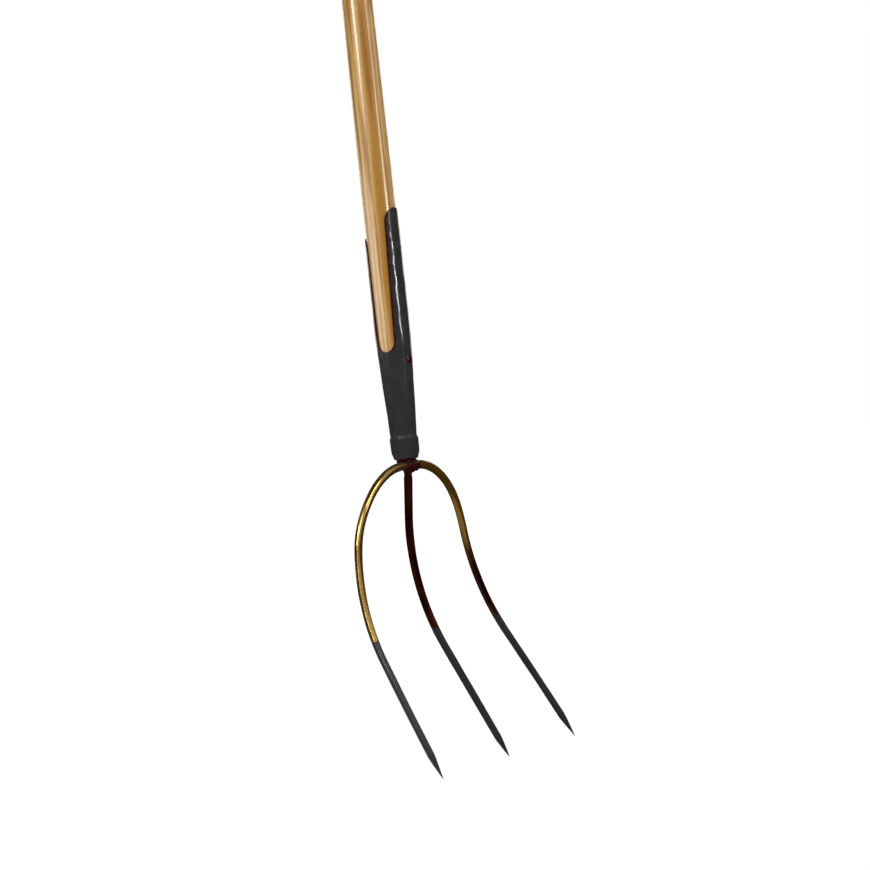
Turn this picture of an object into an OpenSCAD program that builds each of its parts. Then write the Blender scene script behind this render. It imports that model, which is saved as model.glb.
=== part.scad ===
// Three-tine hay fork. A turned wooden handle is riveted between the two straps of a sheet steel
// socket. The centre tine is one forging with the crown and a tang, and the outer tines are round
// bars bent into half an arch each and welded to the crown.
// Millimetres. The origin is on the handle's axis, level with the roots of the outer tines.
// Z runs up the handle, X runs across the tines, and the tines bend forward, to -Y.

/* [Handle] */
// Length of the handle, end to end
handle_l = 1350; // [900:10:1600]
// Diameter where the hands hold it
grip_d = 27.8; // [24:0.1:29]
// Diameter between the straps
foot_d = 29.4; // [29:0.1:34]
// Length of full size above the longer strap's tip
foot_above = 50; // [20:1:120]
// Length over which it thins down to the grip
swell_l = 140; // [80:5:240]
// Radius of the rounded top edge
top_round = 9; // [4:0.5:12]

/* [Socket] */
// Thickness of the sheet
sheet_t = 1.3; // [1:0.1:2]
// Clearance between pieces that fit into each other
fit_gap = 0.1; // [0.05:0.05:0.2]
// Outside diameter at the mouth
mouth_d = 22.1; // [20:0.1:26]
// Length of the tapered part
cone_l = 105; // [80:1:130]
// Length of the front strap above the taper
front_strap_l = 119; // [105:1:160]
// Length of the back strap above the taper
back_strap_l = 95; // [60:1:105]
// Width of the notches between the straps at their foot
notch_w = 17; // [12:0.5:19]
// Width of the notches at the back strap's tip
notch_top_w = 21.2; // [19:0.2:24]
// Depth that the notches reach down into the taper
notch_below = 10; // [6:0.5:20]

/* [End ring] */
// Height of the ring above the socket's mouth
ring_h = 19.5; // [12:0.5:28]
// Wall of the ring at its top
ring_t = 1.1; // [0.8:0.1:2]
// Wall of the ring at the mouth, above its drawn-in foot
ring_foot_t = 1.6; // [1.2:0.1:2.4]
// Thickness of the lip that the ring turns in under the mouth
ring_lip = 2.2; // [1:0.1:2.8]
// Height of the drawn-in foot
ring_taper_h = 7; // [4:0.5:10]
// Width that the foot draws in
ring_draw = 1.9; // [0.5:0.1:2.2]
// Radius of the ring's rounded edges
ring_round = 0.6; // [0.2:0.1:0.8]

/* [Crown and tang] */
// Gap between the outer tines' roots and the socket's mouth
mouth_gap = 4.2; // [2:0.1:8]
// Diameter of the crown under the mouth
crown_d = 17.8; // [16:0.1:19]
// Depth that the crown's foot runs down the centre tine
crown_foot = 9; // [6:0.5:14]
// Length of the plug that fills the mouth
plug_l = 12; // [8:0.5:20]
// Diameter of the tang
tang_d = 9; // [7:0.1:12]
// Length of the tang past the lower rivet
tang_past = 16; // [10:1:30]

/* [Tines] */
// Height of the tines, from their roots down to the points
tine_drop = 265.5; // [230:0.5:320]
// Reach of the points in front of the handle's axis
tine_reach = 73; // [55:0.5:90]
// Distance between the two outer points
spread = 246.5; // [210:0.5:290]
// Diameter of the tines at their roots
tine_d = 7.8; // [6.5:0.1:9]
// Diameter of the tines above their points
tine_end_d = 6.3; // [5:0.1:6.5]
// Length of the points
point_l = 20; // [12:1:40]
// Backward lean of the tines under the crown, in degrees
tine_lean = 5.9; // [3:0.1:10]
// Forward lean of the tines' lower half, in degrees
tine_sweep = 27.9; // [24:0.1:32]
// Length of the centre tine that is straight under the crown
neck_l = 45; // [25:1:60]
// Distance of the centre tine's root in front of the axis
neck_set = 1.1; // [0:0.1:1.8]
// Distance that the outer tines stand in front of the centre one
outer_set = 2.7; // [0:0.1:4]
// Turn of the arches from level, in degrees
arch_turn = 78.1; // [70:0.1:82]
// Further turn of the outer tines from arch to point, in degrees
leg_bow = 7; // [3:0.1:10]

/* [Welds] */
// Distance of the outer tines' root faces from the middle plane
seat_x = 4; // [3:0.1:4.5]
// Length of each weld from the middle plane along its tine
weld_l = 11.6; // [9:0.1:14]
// Thickness of the weld metal at the middle plane
weld_t = 2.5; // [1.5:0.1:3]
// Thickness of the weld metal at its outer end
weld_end_t = 0.3; // [0.2:0.1:0.8]

/* [Rivets] */
// Diameter of the rivets
rivet_d = 5; // [4:0.1:6]
// Diameter of their heads
head_d = 9.4; // [8:0.1:11]
// Height of their heads
head_h = 1; // [0.6:0.1:2]
// Height of the taper above the lower rivet
rivet_below = 17.6; // [14:0.1:25]

/* [Hidden] */
$fn = 72;

ash = "#c9a26b";
black_paint = "#333333";
brown_lacquer = "#7a4a1e";
weld_brown = "#3a2420";

// Sides and rings of the bent outer tines
tine_sides = 20;
arch_rings = 20;
leg_rings = 22;
point_rings = 3;
// Width of the blunt end of each point
tip_d = 0.6;
// The centre tine's bend is this much thinner than the straight bars that it runs into, and its
// ends lie this deep inside them
bend_step = 0.04;
bend_lap = 1;
// Depth inside the centre tine at which the crown's curve ends
crown_sink = 0.6;
// Extra length of a cutting shape past the face that it cuts
past = 1;
// Steps of the curves on the handle's swell, the crown and the welds
curve_steps = 8;

// Levels of the socket, from its mouth up
mouth_z = tine_d/2 + mouth_gap;
cone_top_z = mouth_z + cone_l;
notch_foot_z = cone_top_z - notch_below;
front_tip_z = cone_top_z + front_strap_l;
back_tip_z = cone_top_z + back_strap_l;
ring_top_z = mouth_z + ring_h;
ring_foot_z = mouth_z - ring_lip;

// Radii of the socket outside
mouth_r = mouth_d/2;
strap_r = foot_d/2 + fit_gap + sheet_t;

// Levels of the handle
handle_foot_z = mouth_z + plug_l;
handle_top_z = handle_foot_z + handle_l;
swell_z = front_tip_z + foot_above;

// Levels of the rivets. The upper one is at the middle of the back strap's round tip.
lower_rivet_z = cone_top_z - rivet_below;
upper_rivet_z = back_tip_z - tip_round(back_tip_z);
tang_top_z = lower_rivet_z + tang_past;
tang_tip_l = tang_d/2;

// The tines seen from the side: straight under the crown, one round bend, straight to the point
neck_end = [-neck_set + neck_l*sin(tine_lean), -neck_l*cos(tine_lean)];
bend_r = ((neck_end[1] + tine_drop)*tan(tine_sweep) - neck_end[0] - tine_reach)
    / (cos(tine_sweep) - cos(tine_lean) + (sin(tine_sweep) + sin(tine_lean))*tan(tine_sweep));
bend_mid = [neck_end[0] - bend_r*cos(tine_lean), neck_end[1] - bend_r*sin(tine_lean)];
bend_end = [bend_mid[0] + bend_r*cos(tine_sweep), bend_mid[1] - bend_r*sin(tine_sweep)];
lower_l = (bend_end[1] + tine_drop)/cos(tine_sweep);
bend_d = (tine_d + tine_end_d)/2;

// The outer tines seen from the front: level at the root, one arch, then a gentle bow to the point
root_y = -neck_set - outer_set;
spring_x = weld_l;
chord_turn = arch_turn + leg_bow/2;
arch_r = (spread/2 - spring_x - tine_drop/tan(chord_turn))
    / (sin(arch_turn) - (1 - cos(arch_turn))/tan(chord_turn));
arch_end = [spring_x + arch_r*sin(arch_turn), -arch_r*(1 - cos(arch_turn))];
leg_chord = norm([spread/2 - arch_end[0], tine_drop + arch_end[1]]);
bow_r = leg_chord/(2*sin(leg_bow/2));
point_turn = leg_bow*(1 - point_l/leg_chord);

// Outside radius of the socket at a level
function socket_r(z) = z > cone_top_z ? strap_r
    : mouth_r + (strap_r - mouth_r)*(z - mouth_z)/cone_l;

// Half the width of the notches at a level
function notch_half(z) = let (foot = notch_foot_z + notch_w/2)
    notch_w/2 + (notch_top_w - notch_w)/2*(z - foot)/(back_tip_z - foot);

// Radius of a strap's round tip, from the strap's width below it
function tip_round(tip_z) = sqrt(pow(strap_r, 2) - pow(notch_half(tip_z - strap_r), 2));

// Forward place of the centre tine's axis at a level, in the three stretches of its side view
function side_y(z) =
    z > neck_end[1] ? -neck_set - z*tan(tine_lean)
    : z > bend_end[1] ? bend_mid[0] + sqrt(pow(bend_r, 2) - pow(z - bend_mid[1], 2))
    : bend_end[0] - (bend_end[1] - z)*tan(tine_sweep);

// Points of an outer tine's axis: on the arch at a turn from level, and on the leg past the arch
function on_axis(x, z) = [x, side_y(z) - outer_set, z];
function arch_at(turn) = on_axis(spring_x + arch_r*sin(turn), -arch_r*(1 - cos(turn)));
function leg_at(turn) = on_axis(
    arch_end[0] + bow_r*(sin(arch_turn + turn) - sin(arch_turn)),
    arch_end[1] - bow_r*(cos(arch_turn) - cos(arch_turn + turn)));

// Share of the full thickness at a share of the way down a point
function point_share(t) = 1 - t*(1 - tip_d/tine_end_d);

function unit(v) = v/norm(v);

// A bar of round section along a path, with a radius for each point of the path
module bar(path, radii) {
    last = len(path) - 1;
    function along(i) = unit(path[min(i + 1, last)] - path[max(i - 1, 0)]);
    function ring(i) = let (a = along(i), u = unit(cross([0, 1, 0], a)), v = cross(a, u))
        [for (k = [0:tine_sides - 1]) let (t = 360*k/tine_sides)
            path[i] + radii[i]*(cos(t)*u + sin(t)*v)];
    points = [for (i = [0:last]) each ring(i)];
    sides = [for (i = [0:last - 1], k = [0:tine_sides - 1])
        let (a = i*tine_sides, b = a + tine_sides, n = (k + 1) % tine_sides)
        each [[a + k, b + k, b + n], [a + k, b + n, a + n]]];
    root_cap = [for (k = [0:tine_sides - 1]) k];
    tip_cap = [for (k = [tine_sides - 1:-1:0]) last*tine_sides + k];
    polyhedron(points, concat(sides, [root_cap, tip_cap]), convexity = 6);
}

module right_bar() {
    straight = [on_axis(seat_x, 0), on_axis(spring_x, 0)];
    arch = [for (i = [1:arch_rings]) arch_at(arch_turn*i/arch_rings)];
    leg = [for (i = [1:leg_rings]) leg_at(point_turn*i/leg_rings)];
    point = [for (i = [1:point_rings]) leg_at(point_turn + (leg_bow - point_turn)*i/point_rings)];
    full = concat(straight, arch, leg);
    rings = len(full) - 1;
    radii = concat(
        [for (i = [0:rings]) tine_d/2 + (tine_end_d - tine_d)/2*i/rings],
        [for (i = [1:point_rings]) tine_end_d/2*point_share(i/point_rings)]);
    bar(concat(full, point), radii);
}

// The space inside the socket's outer surface, up to the straps' tips
module socket_block() {
    rotate_extrude() polygon([
        [0, mouth_z], [mouth_r, mouth_z], [strap_r, cone_top_z],
        [strap_r, front_tip_z + past], [0, front_tip_z + past]]);
}

// A hole along Y for a rivet
module rivet_hole(z) {
    translate([0, 0, z]) rotate([90, 0, 0])
        cylinder(d = rivet_d + 2*fit_gap, h = 2*(strap_r + past), center = true);
}

// What the notches take away, seen along X
module notch_cut() {
    foot = notch_foot_z + notch_w/2;
    top = front_tip_z + past;
    rotate([90, 0, 90]) linear_extrude(height = 2*(strap_r + past), center = true) {
        translate([0, foot]) circle(d = notch_w);
        polygon([[-notch_w/2, foot], [notch_w/2, foot],
                 [notch_half(top), top], [-notch_half(top), top]]);
    }
}

// What the round tip of one strap leaves away, on the side of Y that the strap is on
module tip_cut(side, tip_z) {
    round_r = tip_round(tip_z);
    level = tip_z - round_r;
    top = front_tip_z + past;
    depth = strap_r + past;
    translate([0, side > 0 ? depth : 0, 0]) rotate([90, 0, 0]) linear_extrude(height = depth)
        difference() {
            translate([-depth, level]) square([2*depth, top - level]);
            translate([0, level]) circle(r = round_r);
        }
}

module handle() {
    inner = fit_gap + sheet_t;
    swell = [for (i = [0:curve_steps]) let (t = i/curve_steps)
        [foot_d/2 + (grip_d - foot_d)/2*(1 - cos(180*t))/2, swell_z + swell_l*t]];
    top = [for (t = [0:15:90])
        [grip_d/2 - top_round*(1 - cos(t)), handle_top_z - top_round*(1 - sin(t))]];
    color(ash) difference() {
        rotate_extrude() polygon(concat(
            [[0, handle_foot_z], [socket_r(handle_foot_z) - inner, handle_foot_z],
             [foot_d/2, cone_top_z]],
            swell, top, [[0, handle_top_z]]));
        translate([0, 0, handle_foot_z - past])
            cylinder(d = tang_d + 2*fit_gap, h = tang_top_z - handle_foot_z + 2*past);
        rivet_hole(lower_rivet_z);
        rivet_hole(upper_rivet_z);
    }
}

module strap_socket() {
    color(black_paint) difference() {
        rotate_extrude() polygon([
            [mouth_r - sheet_t, mouth_z], [mouth_r, mouth_z],
            [strap_r, cone_top_z], [strap_r, front_tip_z],
            [strap_r - sheet_t, front_tip_z], [strap_r - sheet_t, cone_top_z]]);
        notch_cut();
        tip_cut(-1, front_tip_z);
        tip_cut(1, back_tip_z);
        rivet_hole(lower_rivet_z);
        rivet_hole(upper_rivet_z);
    }
}

// The ring fits round the taper, and its lip carries the socket's edge
module end_ring() {
    full_r = mouth_r + ring_foot_t;
    foot_r = full_r - ring_draw;
    top_r = socket_r(ring_top_z) + ring_t;
    foot_edge = [for (t = [0:30:60])
        [foot_r - ring_round*(1 - sin(t)), ring_foot_z + ring_round*(1 - cos(t))]];
    top_edge = [for (t = [0:30:90])
        [top_r - ring_round*(1 - cos(t)), ring_top_z - ring_round*(1 - sin(t))]];
    color(black_paint) rotate_extrude() polygon(concat(
        [[crown_d/2 + fit_gap, ring_foot_z]],
        foot_edge,
        [[full_r, ring_foot_z + ring_taper_h]],
        top_edge,
        [[socket_r(ring_top_z) + fit_gap/2, ring_top_z], [mouth_r + fit_gap/2, mouth_z],
         [crown_d/2 + fit_gap, mouth_z]]));
}

// The plug in the mouth and the crown under it, which draws in to the centre tine in a curve
module crown() {
    wall = sheet_t + fit_gap;
    foot_r = tine_d/2 - crown_sink;
    curve_top = tine_d/2 + fit_gap;
    curve = [for (i = [0:curve_steps]) let (t = i/curve_steps)
        [foot_r + (crown_d/2 - foot_r)*t*t, -crown_foot + (curve_top + crown_foot)*t]];
    rotate_extrude() polygon(concat(
        [[0, -crown_foot]], curve,
        [[crown_d/2, mouth_z], [mouth_r - wall, mouth_z],
         [socket_r(handle_foot_z) - wall, handle_foot_z], [0, handle_foot_z]]));
}

// The straight stretch of the centre tine under the crown
module neck() {
    translate([0, -neck_set, 0]) rotate([180 + tine_lean, 0, 0])
        cylinder(d1 = tine_d, d2 = bend_d, h = neck_l);
}

// The centre tine below the crown, in the stretches of its side view
module centre_bar() {
    neck();
    lap = 180*bend_lap/(PI*bend_r);
    translate([0, bend_mid[0], bend_mid[1]]) rotate([-90, 0, 90]) rotate([0, 0, -tine_lean - lap])
        rotate_extrude(angle = tine_lean + tine_sweep + 2*lap)
            translate([bend_r, 0]) circle(d = bend_d - bend_step);
    translate([0, bend_end[0], bend_end[1]]) rotate([180 - tine_sweep, 0, 0]) {
        cylinder(d1 = bend_d, d2 = tine_end_d, h = lower_l - point_l);
        translate([0, 0, lower_l - point_l]) cylinder(d1 = tine_end_d, d2 = tip_d, h = point_l);
    }
}

// The hole that an outer tine's root sits in, from its root face outwards
module root_seat(side) {
    translate([side*seat_x, root_y, 0]) rotate([0, side*90, 0])
        cylinder(d = tine_d + 2*fit_gap, h = crown_d);
}

module centre_tine() {
    color(brown_lacquer) difference() {
        union() {
            crown();
            centre_bar();
            translate([0, 0, handle_foot_z])
                cylinder(d = tang_d, h = tang_top_z - tang_tip_l - handle_foot_z);
            translate([0, 0, tang_top_z - tang_tip_l])
                cylinder(d1 = tang_d, d2 = tang_d/2, h = tang_tip_l);
        }
        for (side = [-1, 1]) root_seat(side);
        rivet_hole(lower_rivet_z);
    }
}

module right_tine() {
    color(brown_lacquer) right_bar();
}

module left_tine() {
    color(brown_lacquer) mirror([1, 0, 0]) right_bar();
}

// The weld metal of one side, from the middle plane out along the tine: it swells over the tine's
// root, and fills what the crown, the neck and the ring leave free
module weld(side) {
    end_r = tine_d/2 + fit_gap + weld_end_t;
    swell = [for (i = [0:curve_steps]) let (t = i/curve_steps)
        [end_r + (weld_t - weld_end_t)*(1 + cos(180*t))/2, weld_l*t]];
    color(weld_brown) difference() {
        translate([0, root_y, 0]) rotate([0, side*90, 0])
            rotate_extrude() polygon(concat([[0, 0]], swell, [[0, weld_l]]));
        crown();
        neck();
        root_seat(side);
        translate([0, 0, ring_foot_z]) cylinder(r = spring_x + past, h = mouth_z);
    }
}

module left_weld() {
    weld(-1);
}

module right_weld() {
    weld(1);
}

// A rivet along Y with a low domed head on each strap, formed down onto the sheet
module rivet(z) {
    seat_r = socket_r(z);
    skirt = head_d/4;
    dome = [for (t = [0:15:90]) [head_d/2*cos(t), head_h*sin(t)]];
    color(weld_brown) {
        translate([0, 0, z]) rotate([90, 0, 0])
            cylinder(d = rivet_d, h = 2*seat_r, center = true);
        difference() {
            for (side = [-1, 1])
                translate([0, side*seat_r, z]) rotate([-side*90, 0, 0])
                    rotate_extrude() polygon(concat([[0, -skirt], [head_d/2, -skirt]], dome));
            socket_block();
        }
    }
}

module upper_rivet() {
    rivet(upper_rivet_z);
}

module lower_rivet() {
    rivet(lower_rivet_z);
}

handle();
strap_socket();
end_ring();
centre_tine();
left_tine();
right_tine();
left_weld();
right_weld();
upper_rivet();
lower_rivet();
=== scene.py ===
"""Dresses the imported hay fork: a turned ash handle, a painted strap socket and lacquered steel tines.

Sizes are in millimetres and degrees. A mesh is scaled to metres when it is made.
"""
import logging
import math
from dataclasses import dataclass
from enum import Enum

import bmesh
import bpy
import numpy as np
from mathutils import Matrix, Vector


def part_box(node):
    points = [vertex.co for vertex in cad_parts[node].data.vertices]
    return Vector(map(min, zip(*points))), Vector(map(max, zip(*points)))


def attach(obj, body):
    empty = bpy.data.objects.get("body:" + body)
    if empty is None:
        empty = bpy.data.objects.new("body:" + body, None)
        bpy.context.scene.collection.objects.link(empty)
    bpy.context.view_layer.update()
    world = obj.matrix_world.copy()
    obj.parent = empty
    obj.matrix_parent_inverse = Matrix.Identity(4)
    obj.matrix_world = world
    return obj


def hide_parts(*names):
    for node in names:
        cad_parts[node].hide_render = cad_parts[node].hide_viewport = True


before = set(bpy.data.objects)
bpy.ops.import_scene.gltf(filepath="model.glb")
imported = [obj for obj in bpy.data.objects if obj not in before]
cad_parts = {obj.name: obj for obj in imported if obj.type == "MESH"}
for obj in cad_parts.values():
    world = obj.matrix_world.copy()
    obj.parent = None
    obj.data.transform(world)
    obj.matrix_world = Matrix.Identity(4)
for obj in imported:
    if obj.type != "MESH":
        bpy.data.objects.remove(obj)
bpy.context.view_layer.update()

LOG = logging.getLogger("hay_fork")
MM = 0.001
FULL_TURN = 2 * math.pi
# Points nearer to each other than this, in metres, are one point.
MERGE_REACH = 2e-6
# Sockets of a Mix node that mixes colours: its first and second colour, and its result.
FIRST, SECOND, MIXED = 6, 7, 2
WHITE = (1, 1, 1, 1)
# Columns of the floor and of the felt's dome.
SET_SIDES = 64


class Side(Enum):
    """The side of the middle plane that a piece is on, as the sign of X."""

    LEFT = -1
    RIGHT = 1


class Slot(Enum):
    """The record's material slots."""

    ASH = "ash_wood"
    PAINT = "black_paint"
    LACQUER = "brown_lacquer"
    WELD = "weld_metal"
    RIVET = "rivet_steel"


def linear_colour(code: str) -> tuple[float, float, float, float]:
    """Turns an sRGB hex colour such as "#C9A26B" into the linear values that a shader takes.

    Args:
        code: The colour, as a hash and six hex digits.

    Returns:
        Red, green, blue and an alpha of 1.
    """
    shares = [int(code[i:i + 2], 16) / 255 for i in (1, 3, 5)]
    red, green, blue = (s / 12.92 if s <= 0.04045 else ((s + 0.055) / 1.055) ** 2.4 for s in shares)
    return (red, green, blue, 1.0)


@dataclass(frozen=True)
class Uneven:
    """Smooth unevenness of a surface worked by hand: its height, its size and the seed of its waves."""

    height: float
    size: float
    seed: int

    def lift(self, points: np.ndarray) -> np.ndarray:
        """The sum of cosines that run in random directions, scaled to about -height to height.

        Args:
            points: Places, with x, y and z in the last axis.

        Returns:
            One value for each point.
        """
        waves = 12
        draw = np.random.default_rng(self.seed)
        ways = draw.normal(size=(waves, 3))
        ways /= np.linalg.norm(ways, axis=1, keepdims=True)
        pace = FULL_TURN / (self.size * draw.uniform(0.7, 1.6, waves))
        phase = draw.uniform(0, FULL_TURN, waves)
        crests = np.cos(points @ (ways * pace[:, None]).T + phase)
        return self.height * (crests.sum(-1) / math.sqrt(2 * waves))


SMOOTH = Uneven(0.0, 20.0, 1)


def ease(value: np.ndarray, start: float, end: float) -> np.ndarray:
    """Smooth step from 0 at start to 1 at end: 3 t squared less 2 t cubed.

    Args:
        value: Values of any shape.
        start: The value at which the step starts, which may be the larger one.
        end: The value at which it ends.

    Returns:
        The share of the step at each value.
    """
    share = np.clip((value - start) / (end - start), 0, 1)
    return share * share * (3 - 2 * share)


def unit(vectors: np.ndarray) -> np.ndarray:
    """Divides each vector by its length.

    Args:
        vectors: Vectors, with x, y and z in the last axis.

    Returns:
        The vectors at length 1.
    """
    return vectors / np.linalg.norm(vectors, axis=-1, keepdims=True)


@dataclass(frozen=True)
class Grid:
    """Rows and columns of points, with each point's place on the texture and a mark for the finish.

    The mark says how near a rim the point is, or how bright a wall of the studio is there.
    """

    points: np.ndarray
    places: np.ndarray
    mark: np.ndarray


def swept(path: np.ndarray, along: np.ndarray, across: tuple[float, float, float], radii: np.ndarray,
          sides: int, uneven: Uneven = SMOOTH) -> Grid:
    """A round bar: round each point of a path a circle of that point's radius, square to its direction.

    The circle's point at turn t is path + radius (cos t first + sin t second), where first is square
    to the bar and to across, and second is square to the bar and to first. The texture's places run
    round the bar at its mean radius and along its length.

    Args:
        path: Points of the axis, one to a row.
        along: Direction of the bar at each point.
        across: A direction that the bar never takes, from which the turns are counted.
        radii: Radius at each point, or at each point and turn. Zero closes an end.
        sides: Columns of the grid. The last one lies on the first.
        uneven: The surface's unevenness, which fades where the bar is thinner than 1 mm.

    Returns:
        The bar's surface.
    """
    radii = np.broadcast_to(radii.reshape(len(path), -1), (len(path), sides + 1))
    turn = np.linspace(0, FULL_TURN, sides + 1)
    first = unit(np.cross(np.array(across), unit(along)))
    second = np.cross(unit(along), first)
    ring = np.cos(turn)[None, :, None] * first[:, None] + np.sin(turn)[None, :, None] * second[:, None]
    centre = path[:, None]
    lift = uneven.lift(centre + radii[..., None] * ring) * np.minimum(radii, 1)
    points = centre + (radii + lift)[..., None] * ring
    points[:, -1] = points[:, 0]
    steps = np.linalg.norm(np.diff(path, axis=0), axis=1) + np.abs(np.diff(radii[:, 0]))
    length = np.concatenate([[0.0], np.cumsum(steps)])
    around = turn * radii.max(1).mean()
    places = np.stack(np.broadcast_arrays(around[None, :], length[:, None]), -1)
    return Grid(points, places, np.zeros(points.shape[:2]))


def lathed(profile: np.ndarray, sides: int, uneven: Uneven = SMOOTH) -> Grid:
    """A turned shape: each point (radius, level) of the profile is carried once round the Z axis.

    Args:
        profile: Points of the profile, from one end of the axis to the other or in a closed loop.
        sides: Columns of the grid.
        uneven: The surface's unevenness.

    Returns:
        The turned surface.
    """
    path = np.stack([0 * profile[:, 1], 0 * profile[:, 1], profile[:, 1]], 1)
    along = np.tile([0.0, 0.0, 1.0], (len(path), 1))
    return swept(path, along, (1.0, 0.0, 0.0), profile[:, 0], sides, uneven)


def rounded(middle: tuple[float, float], radius: float, start: float, end: float, steps: int) -> np.ndarray:
    """Points of an arc of a profile, at middle + radius (cos t, sin t), for t from start to end.

    Args:
        middle: The arc's middle, as radius and level.
        radius: The arc's radius.
        start: First angle.
        end: Last angle.
        steps: Number of points.

    Returns:
        The points, one to a row.
    """
    turn = np.radians(np.linspace(start, end, steps))
    return np.array(middle) + radius * np.stack([np.cos(turn), np.sin(turn)], 1)


def closed_mesh(name: str, grids: list[Grid], sharp: float = 35.0) -> bpy.types.Mesh:
    """Sews grids into one closed mesh, with smooth shading and faces that point outwards.

    Each cell of a grid is a face of four corners. Points that fall together are merged, which
    closes the poles and the seams. The places go into a UV map and the marks into an attribute.

    Args:
        name: The mesh's name.
        grids: The surfaces, in millimetres, that together enclose the piece.
        sharp: An edge bent more than this stays sharp.

    Returns:
        The mesh, in metres.
    """
    quads = []
    start = 0
    for grid in grids:
        rows, columns = grid.mark.shape
        number = np.arange(rows * columns).reshape(rows, columns) + start
        corners = (number[:-1, :-1], number[:-1, 1:], number[1:, 1:], number[1:, :-1])
        quads.append(np.stack(corners, -1).reshape(-1, 4))
        start += rows * columns
    faces = np.concatenate(quads)
    points = np.concatenate([grid.points.reshape(-1, 3) for grid in grids]) * MM
    places = np.concatenate([grid.places.reshape(-1, 2) for grid in grids])
    mesh = bpy.data.meshes.new(name)
    mesh.from_pydata(points, [], faces)
    mark = mesh.attributes.new("mark", "FLOAT", "POINT")
    mark.data.foreach_set("value", np.concatenate([grid.mark.ravel() for grid in grids]))
    along = mesh.uv_layers.new(name="along")
    along.data.foreach_set("uv", places[faces.ravel()].ravel())
    shape = bmesh.new()
    shape.from_mesh(mesh)
    bmesh.ops.remove_doubles(shape, verts=shape.verts, dist=MERGE_REACH)
    bmesh.ops.recalc_face_normals(shape, faces=shape.faces)
    shape.to_mesh(mesh)
    shape.free()
    mesh.polygons.foreach_set("use_smooth", np.ones(len(mesh.polygons), dtype=bool))
    mesh.set_sharp_from_angle(angle=math.radians(sharp))
    mesh.validate()
    return mesh


def box_mm(node: str) -> tuple[np.ndarray, np.ndarray]:
    """Reads a CAD node's box.

    Args:
        node: The node's name.

    Returns:
        Its lowest and its highest corner, in millimetres.
    """
    low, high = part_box(node)
    return np.array(low) / MM, np.array(high) / MM


def add_object(mesh: bpy.types.Mesh, material: bpy.types.Material) -> bpy.types.Object:
    """Puts a mesh into the scene under its own name.

    Args:
        mesh: The mesh.
        material: Its material.

    Returns:
        The new object.
    """
    mesh.materials.append(material)
    piece = bpy.data.objects.new(mesh.name, mesh)
    bpy.context.scene.collection.objects.link(piece)
    return piece


def place_piece(mesh: bpy.types.Mesh, node: str, material: bpy.types.Material) -> None:
    """Puts a mesh into the scene in the place of a CAD node.

    Args:
        mesh: The finished mesh, whose name the piece takes.
        node: The CAD node that it stands for.
        material: The finish.
    """
    piece = add_object(mesh, material)
    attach(piece, "root")
    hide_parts(node)
    points = np.empty(len(mesh.vertices) * 3)
    mesh.vertices.foreach_get("co", points)
    points = points.reshape(-1, 3) / MM
    low, high = box_mm(node)
    proud = np.maximum(low - points.min(0), points.max(0) - high)
    LOG.info("%s stands for %s: %d faces, box past the solid's by %s mm",
             piece.name, node, len(mesh.polygons), np.round(proud, 2).tolist())


def feed(tree: bpy.types.NodeTree, node: bpy.types.Node, inputs: dict[str | int, object]) -> None:
    """Links or sets the inputs of a shader's node.

    Args:
        tree: The node tree.
        node: The node.
        inputs: By the name or number of an input, the socket that feeds it, a node whose first
            output feeds it, or its constant.
    """
    for name, value in inputs.items():
        if isinstance(value, bpy.types.Node):
            value = value.outputs[0]
        if isinstance(value, bpy.types.NodeSocket):
            tree.links.new(value, node.inputs[name])
        else:
            node.inputs[name].default_value = value


def add_node(tree: bpy.types.NodeTree, kind: str, inputs: dict[str | int, object] | None = None,
             **settings: object) -> bpy.types.Node:
    """Adds a node to a shader, sets it up and links it.

    Args:
        tree: The node tree.
        kind: Blender's name of the node's type, without the ShaderNode that it starts with.
        inputs: What feeds its inputs, as feed takes it.
        settings: The node's own properties.

    Returns:
        The new node.
    """
    node = tree.nodes.new(f"ShaderNode{kind}")
    for name, value in settings.items():
        setattr(node, name, value)
    feed(tree, node, inputs or {})
    return node


def new_finish(name: str) -> tuple[bpy.types.Material, bpy.types.NodeTree, bpy.types.Node]:
    """Makes a new material.

    Args:
        name: The finish's name.

    Returns:
        The material, its node tree and its one Principled shader.
    """
    material = bpy.data.materials.new(name)
    material.use_nodes = True
    tree = material.node_tree
    return material, tree, tree.nodes["Principled BSDF"]


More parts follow.
